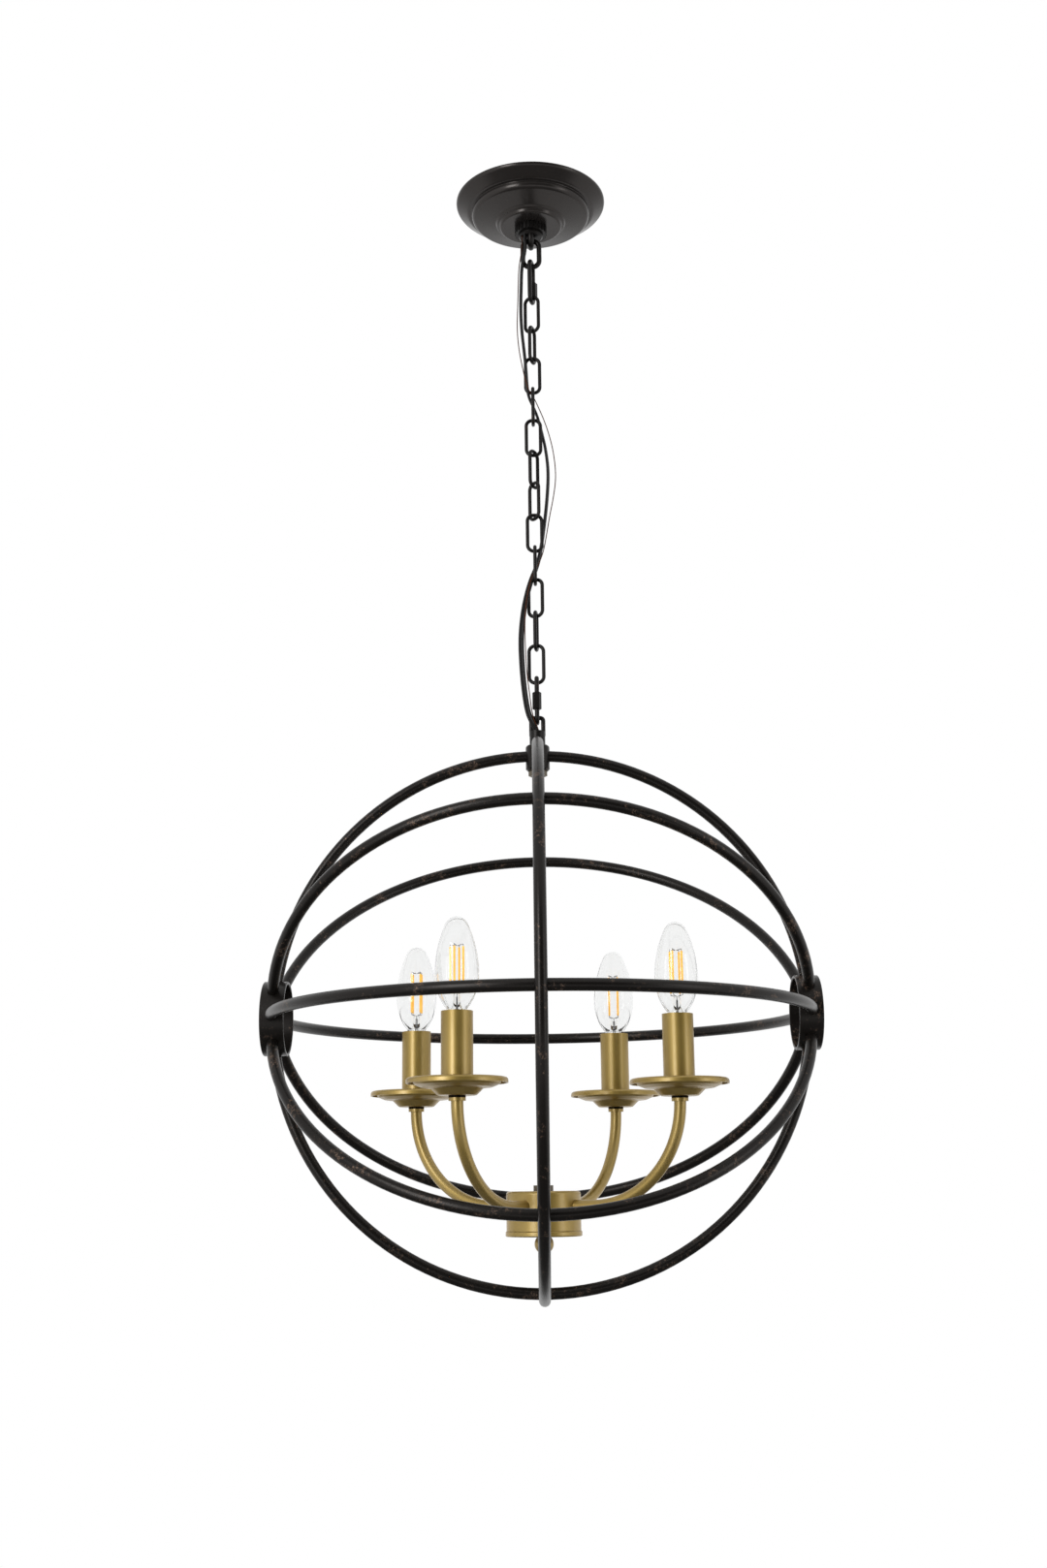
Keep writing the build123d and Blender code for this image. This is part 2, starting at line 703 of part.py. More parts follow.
# Arms: tube bent through a quarter circle, with a flange under the pan
arm_top = -arm_drop + arm_bend
pan_bottom = arm_top + arm_flange_height
for number, azimuth in enumerate(arm_angles, start=1):
    with BuildPart() as arm:
        with BuildLine(spoke_plane(azimuth)) as arm_path:
            FilletPolyline(
                (arm_start, -arm_drop),
                (arm_reach, -arm_drop),
                (arm_reach, pan_bottom + arm_stub),
                radius=arm_bend,
            )
        with BuildSketch(Plane(origin=arm_path.line @ 0, z_dir=arm_path.line % 0)) as arm_section:
            Circle(arm_dia / 2)
            Circle(arm_bore / 2, mode=Mode.SUBTRACT)
        sweep(path=arm_path.line)
        with BuildSketch(candle_place(azimuth, arm_top)) as flange_section:
            Circle(arm_flange_dia / 2)
            Circle(arm_bore / 2, mode=Mode.SUBTRACT)
        extrude(amount=arm_flange_height)
    save(arm, f"arm_{number}")

# Nuts on the arms, against the inside of the hub
with BuildPart() as arm_nuts:
    for azimuth in arm_angles:
        spoke = spoke_plane(azimuth)
        seat_radius = sqrt((hub_dia / 2 - hub_wall) ** 2 - (arm_nut_dia / 2) ** 2)
        nut_start = spoke.from_local_coords((seat_radius - arm_nut_height, -arm_drop, 0))
        with BuildSketch(Plane(origin=nut_start, z_dir=spoke.x_dir)) as arm_nut_section:
            Circle(arm_nut_dia / 2)
            Circle(arm_dia / 2 + thread_clearance, mode=Mode.SUBTRACT)
        extrude(amount=arm_nut_height)
save(arm_nuts, "arm_nuts")

# Drip pans: spun saucers with a step and a rim that is turned down
pan_rim = pan_bottom + pan_depth
pan_corners = [
    (arm_dia / 2 + thread_clearance, pan_bottom),
    (pan_floor_radius, pan_bottom),
    (pan_bowl_radius, pan_bottom + pan_bowl_rise),
    (pan_step_radius, pan_bottom + pan_step_rise),
    (pan_wall_radius, pan_bottom + pan_wall_rise),
    (pan_wall_radius + pan_slope, pan_rim - pan_sheet),
    (pan_radius - pan_sheet, pan_rim - pan_sheet),
    (pan_radius - pan_sheet, pan_rim - pan_sheet - pan_lip),
]
with BuildPart() as drip_pans:
    for azimuth in arm_angles:
        axis_plane = spoke_plane(azimuth)
        pan_plane = axis_plane.shift_origin(axis_plane.from_local_coords((arm_reach, 0, 0)))
        with BuildSketch(pan_plane) as pan_section:
            with BuildLine() as pan_outline:
                FilletPolyline(*pan_corners, radius=pan_rounds)
                offset(amount=pan_sheet, side=Side.LEFT)
            make_face()
        revolve(axis=Axis(pan_plane.origin, (0, 0, 1)))
save(drip_pans, "drip_pans")

# Candle sleeves standing on the pans
candle_bottom = pan_bottom + pan_sheet
with BuildPart() as candle_sleeves:
    for azimuth in arm_angles:
        with BuildSketch(candle_place(azimuth, candle_bottom)) as candle_section:
            Circle(candle_dia / 2)
            Circle(candle_dia / 2 - candle_wall, mode=Mode.SUBTRACT)
        extrude(amount=candle_height)
save(candle_sleeves, "candle_sleeves")

# Lamp sockets on the arms' ends, bored from above for the bulbs
socket_top = candle_bottom + socket_height
with BuildPart() as lamp_sockets:
    for azimuth in arm_angles:
        with BuildSketch(candle_place(azimuth, candle_bottom)) as socket_section:
            Circle(socket_dia / 2)
        extrude(amount=socket_height)
    for azimuth in arm_angles:
        with BuildSketch(candle_place(azimuth, candle_bottom)) as socket_stub_hole:
            Circle(arm_dia / 2 + thread_clearance)
        extrude(amount=arm_stub - pan_sheet + play, mode=Mode.SUBTRACT)
        with BuildSketch(candle_place(azimuth, socket_top)) as socket_bore:
            Circle(bulb_base_dia / 2 + thread_clearance)
        extrude(amount=-socket_depth, mode=Mode.SUBTRACT)
save(lamp_sockets, "lamp_sockets")

# Bulbs: a base with its skirt, a glass stem with filaments, and the candle-shaped glass
bulb_bottom = socket_top - socket_depth + play
bulb_seat = bulb_bottom + bulb_base_length
bulb_tip = bulb_bottom + bulb_length
belly = bulb_tip - bulb_belly
tip_half = bulb_tip_width / 2
bulb_radius = bulb_dia / 2


def tip_lift(end_height):
    """How far the round tip stands above the point where the long curve ends."""
    rise = end_height - belly
    inset = bulb_radius - tip_half
    curve = (rise**2 + inset**2) / (2 * inset)
    lean = asin(rise / curve)
    return tip_half / cos(lean) * (1 - sin(lean))


tip_start = bulb_tip
for step in range(30):
    tip_start = bulb_tip - tip_lift(tip_start)

for number, azimuth in enumerate(arm_angles, start=1):
    axis_plane = spoke_plane(azimuth)
    bulb_plane = axis_plane.shift_origin(axis_plane.from_local_coords((arm_reach, 0, 0)))
    bulb_axis = Axis(bulb_plane.origin, (0, 0, 1))
    with BuildPart() as bulb_glass:
        with BuildSketch(bulb_plane) as glass_section:
            with BuildLine() as glass_outline:
                bowl = TangentArc((bulb_radius, belly), (bulb_neck_dia / 2, belly - bulb_bowl), tangent=(0, -1))
                Line(bowl @ 1, (bulb_neck_dia / 2, bulb_seat))
                flame = TangentArc((bulb_radius, belly), (tip_half, tip_start), tangent=(0, 1))
                TangentArc(flame @ 1, (0, bulb_tip), tangent=flame % 1)
                offset(amount=bulb_glass_wall, side=Side.RIGHT)
            make_face()
        revolve(axis=bulb_axis)
    save(bulb_glass, f"bulb_glass_{number}")
    with BuildPart() as bulb_base:
        with BuildSketch(bulb_plane) as base_section:
            with BuildLine() as base_outline:
                skirt_top = bulb_seat
                skirt_bottom = bulb_seat - bulb_skirt_height
                Polyline(
                    (0, bulb_bottom),
                    (bulb_foot_dia / 2, bulb_bottom),
                    (bulb_base_dia / 2, bulb_bottom + bulb_foot_height),
                    (bulb_base_dia / 2, skirt_bottom),
                    (bulb_neck_dia / 2, skirt_top),
                    (0, skirt_top),
                    close=True,
                )
            make_face()
        revolve(axis=bulb_axis)
        with BuildSketch(candle_place(azimuth, bulb_seat)) as glass_stem_section:
            Circle(glass_stem_dia / 2)
        extrude(amount=glass_stem_height)
        filament_foot = bulb_seat + glass_stem_height
        filament_head = filament_foot + filament_disc_height + filament_length
        for height in (filament_foot, filament_head):
            with BuildSketch(candle_place(azimuth, height)) as disc_section:
                Circle(filament_disc_dia / 2)
            extrude(amount=filament_disc_height)
        with BuildSketch(candle_place(azimuth, filament_foot + filament_disc_height)) as filaments:
            with PolarLocations(filament_circle / 2, 4):
                Circle(filament_dia / 2)
        extrude(amount=filament_length)
    save(bulb_base, f"bulb_base_{number}")

# Where the chain swings and where the sleeves turn
for name, height, turn in pivots:
    print(f"under {name}: swings at {height:.2f}, in a plane turned {turn:.0f}")
for place, middle in sleeve_axes.items():
    print(f"{place} sleeve: axis at {middle.X:.2f}, {middle.Y:.2f}, {middle.Z:.2f}")
print(f"middle of the cage at {orb_z:.3f}")
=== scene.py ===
import json
from math import cos, pi, radians, sin

import bmesh
import bpy
from mathutils import Matrix, Vector


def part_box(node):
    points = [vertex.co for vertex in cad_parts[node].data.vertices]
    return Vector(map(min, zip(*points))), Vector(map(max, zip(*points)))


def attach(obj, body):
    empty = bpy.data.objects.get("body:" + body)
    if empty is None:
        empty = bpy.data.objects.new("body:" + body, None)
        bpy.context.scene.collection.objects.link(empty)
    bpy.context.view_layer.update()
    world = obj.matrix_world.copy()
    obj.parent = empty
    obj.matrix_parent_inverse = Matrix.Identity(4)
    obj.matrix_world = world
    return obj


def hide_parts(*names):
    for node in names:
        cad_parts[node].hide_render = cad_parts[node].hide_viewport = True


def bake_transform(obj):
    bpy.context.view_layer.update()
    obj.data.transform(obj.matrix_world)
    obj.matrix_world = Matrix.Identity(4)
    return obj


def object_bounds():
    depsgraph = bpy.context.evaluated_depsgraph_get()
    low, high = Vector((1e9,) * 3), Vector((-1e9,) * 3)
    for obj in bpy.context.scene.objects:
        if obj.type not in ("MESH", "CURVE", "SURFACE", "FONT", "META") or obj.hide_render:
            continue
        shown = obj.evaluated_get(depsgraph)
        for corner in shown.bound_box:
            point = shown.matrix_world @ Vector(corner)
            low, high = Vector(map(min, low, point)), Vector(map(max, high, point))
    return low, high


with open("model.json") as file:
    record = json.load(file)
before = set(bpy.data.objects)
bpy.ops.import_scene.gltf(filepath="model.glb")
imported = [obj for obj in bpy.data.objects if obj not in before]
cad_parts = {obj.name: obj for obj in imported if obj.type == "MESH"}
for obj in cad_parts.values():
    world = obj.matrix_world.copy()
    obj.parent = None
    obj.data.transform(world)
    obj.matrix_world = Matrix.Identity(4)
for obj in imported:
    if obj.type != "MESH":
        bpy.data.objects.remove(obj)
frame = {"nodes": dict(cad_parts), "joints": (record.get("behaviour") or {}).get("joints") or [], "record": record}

# Orb pendant light: dark bronze cage and chain, antique brass candle cluster, clear bulbs.
# Metres, +Z up, in the CAD model's frame.

cad_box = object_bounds()
nodes = frame["nodes"]
mm = 0.001


# Shader maths

# The colour sockets of a Mix node, which share their names with its other sockets
mix_first, mix_second, mix_result = 6, 7, 2


class Value:
    """A socket that varies over a surface, with Python's operators."""

    def __init__(self, shading, socket):
        self.shading = shading
        self.socket = socket

    def math(self, operation, first, second):
        settings = {"operation": operation}
        return self.shading.node("ShaderNodeMath", settings, {0: first, 1: second})

    def __add__(self, other):
        return self.math("ADD", self, other)

    def __sub__(self, other):
        return self.math("SUBTRACT", self, other)

    def __rsub__(self, other):
        return self.math("SUBTRACT", other, self)

    def __mul__(self, other):
        return self.math("MULTIPLY", self, other)

    def __or__(self, other):
        return self.math("MAXIMUM", self, other)

    __radd__ = __add__
    __rmul__ = __mul__


class Shading:
    """The nodes of a material or of the world."""

    def __init__(self, tree):
        self.tree = tree

    def node(self, kind, settings=None, inputs=None, output=0):
        made = self.tree.nodes.new(kind)
        for name, value in (settings or {}).items():
            setattr(made, name, value)
        for socket, value in (inputs or {}).items():
            self.feed(made.inputs[socket], value)
        return Value(self, made.outputs[output])

    def feed(self, socket, value):
        if isinstance(value, Value):
            self.tree.links.new(value.socket, socket)
        else:
            socket.default_value = value

    def surround_rays(self):
        """One for rays that show the surround: to the eye, through glass or in a shine."""
        camera, glass, shine = (
            self.node("ShaderNodeLightPath", output=f"Is {kind} Ray")
            for kind in ("Camera", "Transmission", "Glossy")
        )
        return camera | glass | shine


class Finish(Shading):
    """One procedural material with a Principled shader."""

    def __init__(self, name, **constants):
        self.material = bpy.data.materials.new(name)
        self.material.use_nodes = True
        super().__init__(self.material.node_tree)
        self.shader = self.tree.nodes["Principled BSDF"]
        for socket, value in constants.items():
            self.shader.inputs[socket.replace("_", " ")].default_value = value

    def place(self):
        """Object coordinates, in metres."""
        return self.node("ShaderNodeTexCoord", output="Object")

    def stretched(self, scale):
        """Object coordinates with a scale for each axis."""
        return self.node("ShaderNodeMapping", inputs={"Vector": self.place(), "Scale": scale})

    def noise(self, scale, detail, vector=None):
        vector = vector or self.place()
        inputs = {"Vector": vector, "Scale": scale, "Detail": detail, "Roughness": 0.6}
        return self.node("ShaderNodeTexNoise", inputs=inputs)

    def mask(self, value, low, high):
        """A soft step from zero at low to one at high."""
        inputs = {"Value": value, "From Min": low, "From Max": high}
        return self.node("ShaderNodeMapRange", {"interpolation_type": "SMOOTHSTEP"}, inputs)

    def blend(self, factor, first, second):
        inputs = {"Factor": factor, mix_first: first, mix_second: second}
        return self.node("ShaderNodeMix", {"data_type": "RGBA"}, inputs, output=mix_result)

    def bump(self, height, strength, distance):
        inputs = {"Height": height, "Strength": strength, "Distance": distance}
        return self.node("ShaderNodeBump", inputs=inputs)

    def paint(self, **varying):
        """Feed varying values to the shader's sockets and hand back the material."""
        for socket, value in varying.items():
            self.feed(self.shader.inputs[socket.replace("_", " ")], value)
        return self.material


def colour(red, green, blue):
    return (red, green, blue, 1)


def dark_bronze(name, ground, rub, rub_share, rough):
    """Oil-rubbed bronze: near-black satin with brown metal rubbed through in specks."""
    finish = Finish(name, Metallic=0.55, Specular_IOR_Level=0.33)
    cloud = finish.noise(scale=38, detail=4)
    grain = finish.noise(scale=900, detail=2)
    streak = finish.noise(scale=260, detail=3)
    wear = cloud * 0.55 + streak * 0.45
    rubbed = finish.mask(wear, low=0.62 - rub_share, high=0.72 - rub_share)
    rubbed = rubbed * finish.mask(grain, low=0.42, high=0.62)
    drift = finish.noise(scale=14, detail=2)
    pale_ground = colour(*(1.5 * part for part in ground[:3]))
    tint = finish.blend(drift, ground, pale_ground)
    tint = finish.blend(rubbed * 0.75, tint, rub)
    roughness = rough + 0.12 * (cloud - 0.5) + 0.08 * rubbed
    bump = finish.bump(grain * 0.6 + streak * 0.4, strength=0.16, distance=0.4 * mm)
    return finish.paint(Base_Color=tint, Roughness=roughness, Normal=bump)


def antique_brass(name, shade, pan_shade_from=None):
    """Satin lacquered brass: fine brushing, soft blotches and darker specks.

    Above the height that the last argument gives, it is near-black and
    without lacquer: painted shade in the gap under a drip pan.
    """
    lacquer = 0.9
    finish = Finish(
        name,
        Metallic=0.85,
        Coat_Weight=lacquer,
        Coat_Roughness=0.27,
        Specular_Tint=colour(0.72, 0.58, 0.34),
    )
    cloud = finish.noise(scale=24, detail=3)
    brush = finish.noise(scale=1.0, detail=2, vector=finish.stretched((1500, 1500, 60)))
    speck = finish.mask(finish.noise(scale=620, detail=2), low=0.66, high=0.76)
    tint = finish.blend(cloud, colour(0.3, 0.2, 0.04), colour(0.342, 0.231, 0.052))
    tint = finish.blend(brush * 0.3, tint, colour(0.4, 0.298, 0.1))
    tint = finish.blend(speck * 0.12, tint, colour(0.2, 0.13, 0.05))
    tint = finish.blend(shade, colour(0.012, 0.009, 0.007), tint)
    roughness = 0.45 + 0.06 * (cloud - 0.5) + 0.1 * (brush - 0.5)
    bump = finish.bump(brush, strength=0.03, distance=0.3 * mm)
    if pan_shade_from is not None:
        # Painted shade: near-black with no lacquer above the given height, for the shaded gap under a drip pan.
        height = finish.node("ShaderNodeSeparateXYZ", inputs={0: finish.place()}, output="Z")
        black = finish.mask(height, low=pan_shade_from - 0.1 * mm, high=pan_shade_from)
        tint = finish.blend(black, tint, colour(0.004, 0.0035, 0.003))
        finish.paint(Coat_Weight=lacquer * (1 - black))
    return finish.paint(Base_Color=tint, Roughness=roughness, Normal=bump)


def plated_steel():
    """Zinc plate with a pale yellow passivation and faint spangle."""
    finish = Finish("plated_steel", Metallic=1.0)
    cloud = finish.noise(scale=120, detail=3)
    tint = finish.blend(cloud, colour(0.62, 0.6, 0.52), colour(0.5, 0.5, 0.48))
    return finish.paint(Base_Color=tint, Roughness=0.3 + 0.16 * cloud)


def clear_glass():
    """Thin blown bulb glass with a faint grey veil."""
    finish = Finish("clear_glass", Roughness=0.02, IOR=1.33, Transmission_Weight=1.0)
    veil = finish.noise(scale=30, detail=1)
    tint = finish.blend(veil, colour(0.935, 0.94, 0.94), colour(0.955, 0.955, 0.95))
    return finish.paint(Base_Color=tint)


def stem_glass():
    """Pressed glass of the bulb's foot, a little cloudy."""
    finish = Finish("stem_glass", Roughness=0.05, IOR=1.12, Transmission_Weight=1.0)
    wave = finish.noise(scale=300, detail=2)
    tint = finish.blend(wave, colour(0.9, 0.91, 0.91), colour(0.98, 0.98, 0.97))
    return finish.paint(Base_Color=tint)


def amber_filament_painted_glow():
    """Yellow phosphor coating, mottled along the stick, with a faint painted glow."""
    finish = Finish(
        "amber_filament_painted_glow",
        Specular_IOR_Level=0.15,
        # Painted glow: the bulb is unlit, and this brightens the filament as if lit.
        Emission_Color=colour(1.0, 0.5, 0.06),
        Emission_Strength=0.4,
    )
    grain = finish.noise(scale=700, detail=3)
    tint = finish.blend(grain, colour(0.94, 0.48, 0.06), colour(1.0, 0.6, 0.13))
    bump = finish.bump(grain, strength=0.2, distance=0.2 * mm)
    return finish.paint(Base_Color=tint, Roughness=0.42 + 0.2 * grain, Normal=bump)


def lead_wire():
    """Grey nickel wire inside the bulb."""
    finish = Finish("lead_wire", Metallic=1.0)
    grain = finish.noise(scale=800, detail=2)
    tint = finish.blend(grain, colour(0.12, 0.12, 0.125), colour(0.26, 0.25, 0.25))
    return finish.paint(Base_Color=tint, Roughness=0.3 + 0.2 * grain)


def bright_brass():
    """Bright brass of the bulb's screw cap, dulled in patches."""
    finish = Finish("bright_brass", Metallic=1.0)
    cloud = finish.noise(scale=160, detail=3)
    tint = finish.blend(cloud, colour(0.66, 0.5, 0.24), colour(0.8, 0.66, 0.38))
    return finish.paint(Base_Color=tint, Roughness=0.22 + 0.2 * cloud)


def black_plastic():
    """Moulded black socket plastic with a fine spark texture."""
    finish = Finish("black_plastic")
    grain = finish.noise(scale=900, detail=2)
    tint = finish.blend(grain, colour(0.012, 0.012, 0.013), colour(0.03, 0.03, 0.03))
    bump = finish.bump(grain, strength=0.2, distance=0.3 * mm)
    return finish.paint(Base_Color=tint, Roughness=0.5 + 0.2 * grain, Normal=bump)


def cord_jacket():
    """Black vinyl of the flat twin cord, slightly dusty."""
    finish = Finish("cord_jacket", Specular_IOR_Level=0.25)
    dust = finish.noise(scale=90, detail=3)
    tint = finish.blend(dust, colour(0.003, 0.003, 0.0032), colour(0.012, 0.011, 0.0105))
    grain = finish.noise(scale=500, detail=2)
    bump = finish.bump(grain, strength=0.12, distance=0.3 * mm)
    return finish.paint(Base_Color=tint, Roughness=0.34 + 0.22 * dust, Normal=bump)


def earth_copper():
    """Bare copper wire, browned by handling."""
    finish = Finish("earth_copper", Metallic=1.0)
    cloud = finish.noise(scale=140, detail=3)
    tint = finish.blend(cloud, colour(0.045, 0.016, 0.008), colour(0.13, 0.05, 0.026))
    return finish.paint(Base_Color=tint, Roughness=0.5 + 0.25 * cloud)


bronze = dark_bronze(
    "bronze_rod",
    ground=colour(0.0095, 0.008, 0.007),
    rub=colour(0.16, 0.106, 0.076),
    rub_share=0.085,
    rough=0.31,
)
chain_bronze = dark_bronze(
    "bronze_chain",
    ground=colour(0.008, 0.007, 0.0065),
    rub=colour(0.11, 0.06, 0.036),
    rub_share=0.03,
    rough=0.36,
)
canopy_bronze = dark_bronze(
    "bronze_canopy",
    ground=colour(0.024, 0.021, 0.0195),
    rub=colour(0.12, 0.08, 0.055),
    rub_share=0.0,
    rough=0.22,
)
# Painted shade: on each arm a near-black band just under its drip pan, where the gap lies in shade.
pan_shade_depth = 1.6 * mm
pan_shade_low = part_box("drip_pans")[0].z - pan_shade_depth
brass = antique_brass("antique_brass", shade=1.0)
arm_brass_pan_shade = antique_brass("arm_brass_pan_shade", shade=1.0, pan_shade_from=pan_shade_low)
aged_brass = antique_brass("aged_brass", shade=0.12)
steel = plated_steel()
glass = clear_glass()
foot_glass = stem_glass()
amber_with_painted_glow = amber_filament_painted_glow()
wire = lead_wire()
cap_brass = bright_brass()
plastic = black_plastic()
jacket = cord_jacket()
copper = earth_copper()

slot_finish = {
    "bronze": bronze,
    "antique_brass": brass,
    "plated_steel": steel,
    "clear_glass": glass,
    "bulb_brass": cap_brass,
    "black_plastic": plastic,
    "black_cord": jacket,
    "copper_wire": copper,
}
own_finish = {
    "canopy": canopy_bronze,
    "stem_nuts": aged_brass,
    "arm_1": arm_brass_pan_shade,
    "arm_2": arm_brass_pan_shade,
    "arm_3": arm_brass_pan_shade,
    "arm_4": arm_brass_pan_shade,
}
chain_names = ("canopy_loop", "collar_nut", "loop_link", "quick_", "chain_link_", "top_eye")


def node_finish(name, slot):
    """The finish that the photograph shows on a node, or else that of its slot."""
    if name.startswith(chain_names):
        return chain_bronze
    return own_finish.get(name, slot_finish[slot])


for subpart in frame["record"]["subparts"]:
    coats = nodes[subpart["node"]].data.materials
    coats.clear()
    coats.append(node_finish(subpart["node"], subpart["material_slot"]))


# Cords: one smooth line each, cut where each link carries it

cord_route = [
    (-5.5, -6.1, -28.0), (-5.5, -6.0, -38.0), (-5.0, -5.6, -49.0), (-7.0, -5.2, -59.0),
    (-8.9, -4.4, -70.0), (-9.4, -3.0, -86.0), (-10.2, -2.6, -108.0), (-9.6, -3.0, -130.0),
    (-7.6, -3.9, -151.0), (-6.0, -4.6, -169.0), (-5.2, -4.4, -188.0), (-3.6, -2.8, -198.5),
    (0.2, -0.4, -206.0), (4.2, 3.2, -215.0), (7.6, 4.6, -229.0), (11.2, 4.0, -247.0),
    (13.2, 2.6, -269.0), (11.6, 2.6, -295.0), (8.8, 3.8, -319.0), (5.9, 4.4, -339.0),
    (3.4, 3.5, -352.0), (0.2, 0.6, -363.0), (-3.4, -3.2, -373.0), (-7.2, -4.6, -386.0),
    (-11.0, -4.0, -404.0), (-13.4, -2.8, -427.0), (-12.7, -3.0, -453.0), (-10.8, -3.8, -477.0),
    (-8.0, -4.8, -496.0), (-4.2, -4.4, -504.5), (-1.2, -1.3, -510.2), (-1.0, -0.4, -517.0),
    (-0.9, -0.2, -523.6),
]
ground_route = [
    (-7.8, -3.7, -28.0), (-7.9, -3.9, -38.0), (-8.2, -4.6, -49.0), (-9.8, -5.4, -59.0),
    (-11.6, -4.6, -70.0), (-12.1, -3.2, -86.0), (-12.9, -2.6, -107.0), (-13.8, -2.8, -131.0),
    (-12.0, -3.9, -153.0), (-8.9, -5.4, -171.0), (-6.6, -6.8, -183.0), (-3.9, -6.3, -192.0),
    (0.8, -2.6, -198.0), (4.6, 0.4, -205.5), (9.6, 3.0, -217.0), (14.2, 4.0, -231.0),
    (18.2, 3.2, -250.0), (20.1, 2.4, -273.0), (17.4, 2.4, -293.0), (13.4, 3.0, -312.0),
    (10.4, 3.2, -330.0), (7.8, 2.0, -344.0), (4.6, -0.4, -354.5), (0.6, -2.6, -363.0),
    (-3.2, -5.8, -372.0), (-6.2, -7.0, -383.0), (-8.6, -6.8, -397.0), (-9.9, -5.2, -417.0),
    (-9.4, -3.6, -439.0), (-8.6, -4.0, -459.0), (-6.4, -5.2, -478.0), (-4.9, -6.6, -493.0),
    (-2.6, -5.8, -504.0), (1.0, -2.5, -509.8), (1.9, -0.7, -516.5), (1.8, -0.3, -523.0),
]
cord_thickness = 2.5 * mm
cord_steps = 36
lobe_turn = 130
lobe_step = 26
ground_wire_dia = 0.9 * mm
ground_wire_sides = 10
edge_on_turn = 78
facing_start = -323 * mm
facing_run = 100 * mm
bend_reach = 7 * mm
bend_margin = 1 * mm

swings = [joint for joint in frame["joints"] if joint["name"].endswith("_swing")]

# Heights where one swing's stretch of cord ends and the next begins
loop_link_cut = -60 * mm
quick_link_cut = -91 * mm
first_chain_cut = -122 * mm
chain_pitch = 30.6 * mm
chain_links = 12
eye_cut = -489.5 * mm
carried = [loop_link_cut, quick_link_cut]
carried += [first_chain_cut - chain_pitch * number for number in range(chain_links)]
carried += [eye_cut]


def smooth_line(name, route):
    """Points along a cord's line, read from the NURBS spline of its route."""
    curve = bpy.data.curves.new(name, "CURVE")
    curve.dimensions = "3D"
    spline = curve.splines.new("NURBS")
    spline.points.add(len(route) - 1)
    for point, place in zip(spline.points, route):
        point.co = (*(mm * value for value in place), 1)
    spline.order_u = 3
    spline.use_endpoint_u = True
    spline.resolution_u = cord_steps
    line = bpy.data.objects.new(name, curve)
    mesh = bpy.data.meshes.new_from_object(line)
    points = [vertex.co.copy() for vertex in mesh.vertices]
    bpy.data.meshes.remove(mesh)
    bpy.data.objects.remove(line)
    bpy.data.curves.remove(curve)
    return points


def twin_profile():
    """Places across and through the flat twin cord, round both lobes and their groove."""
    lobe = cord_thickness / 2
    turns = [radians(angle) for angle in range(-lobe_turn, lobe_turn + 1, lobe_step)]
    right = [(lobe + lobe * cos(turn), lobe * sin(turn)) for turn in turns]
    left = [(-across, -depth) for across, depth in right]
    return right + left


def round_profile():
    """Places round the bare earth wire."""
    radius = ground_wire_dia / 2
    turns = [2 * pi * side / ground_wire_sides for side in range(ground_wire_sides)]
    return [(radius * cos(turn), radius * sin(turn)) for turn in turns]


def cord_turn(height):
    """The flat cord hangs edge-on at the top and turns its face to the front lower down."""
    share = min(max((facing_start - height) / facing_run, 0), 1)
    return radians(edge_on_turn) * (1 - share * share * (3 - 2 * share))


def tube(name, points, profile, finish):
    """A closed tube of one profile along points, its width turned about the line."""
    mesh = bpy.data.meshes.new(name)
    shape = bmesh.new()
    rings = []
    for index, point in enumerate(points):
        before = points[max(index - 1, 0)]
        after = points[min(index + 1, len(points) - 1)]
        along = (after - before).normalized()
        turn = cord_turn(point.z)
        wide = Vector((cos(turn), sin(turn), 0))
        wide = (wide - along * wide.dot(along)).normalized()
        deep = along.cross(wide)
        places = [point + wide * across + deep * depth for across, depth in profile]
        rings.append([shape.verts.new(place) for place in places])
    for upper, lower in zip(rings, rings[1:]):
        for side in range(len(profile)):
            following = (side + 1) % len(profile)
            shape.faces.new((upper[side], upper[following], lower[following], lower[side]))
    shape.faces.new(rings[0])
    shape.faces.new(rings[-1])
    bmesh.ops.recalc_face_normals(shape, faces=shape.faces)
    for face in shape.faces:
        face.smooth = len(face.verts) == 4
    shape.to_mesh(mesh)
    shape.free()
    mesh.materials.append(finish)
    piece = bpy.data.objects.new(name, mesh)
    bpy.context.collection.objects.link(piece)
    return piece


def hang_cord(node, route, profile, finish):
    """Cut a cord into one stretch for each swing of the chain."""
    line = smooth_line(node, route)
    cuts = [0]
    for height in carried:
        cuts.append(min(range(len(line)), key=lambda index: abs(line[index].z - height)))
    cuts.append(len(line) - 1)
    for number, (joint, first, last) in enumerate(zip(swings, cuts, cuts[1:]), start=1):
        points = line[first:last + 1]
        piece = tube(f"{node}_{number:02d}", points, profile, finish)
        pivot = joint["pos_m"][2]
        above = points[0].z - pivot - bend_margin
        below = pivot - points[-1].z - bend_margin
        reach = min(bend_reach, above, below)
        start, end = (0, 0, pivot + reach), (0, 0, pivot - reach)
        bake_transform(piece)
        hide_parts(node)


hang_cord("power_cord", cord_route, twin_profile(), jacket)
hang_cord("ground_wire", ground_route, round_profile(), copper)


# Bulb cores: screw cap, glass foot, filament sticks and their wires

sticks = 4
stick_circle = 5.4 * mm
stick_dia = 1.7 * mm
stick_foot = 19.2 * mm
stick_length = 33.8 * mm
stick_end = 0.4 * mm
stick_taper = 0.6
stick_sides = 12
lead_dia = 0.5 * mm
lead_sides = 8
lead_tail = 1.6 * mm
lead_overlap = 0.6 * mm
spider_dip = 0.9 * mm
spider_inner = 0.15
post_foot = Vector((0, 0, 4 * mm))
riser_foot = Vector((1.3 * mm, 0, 1 * mm))
riser_head = Vector((0.7 * mm, 0, 14 * mm))
cap_sides = 32
cap_ridges = 4
foot_sides = 24
smooth_angle = 40


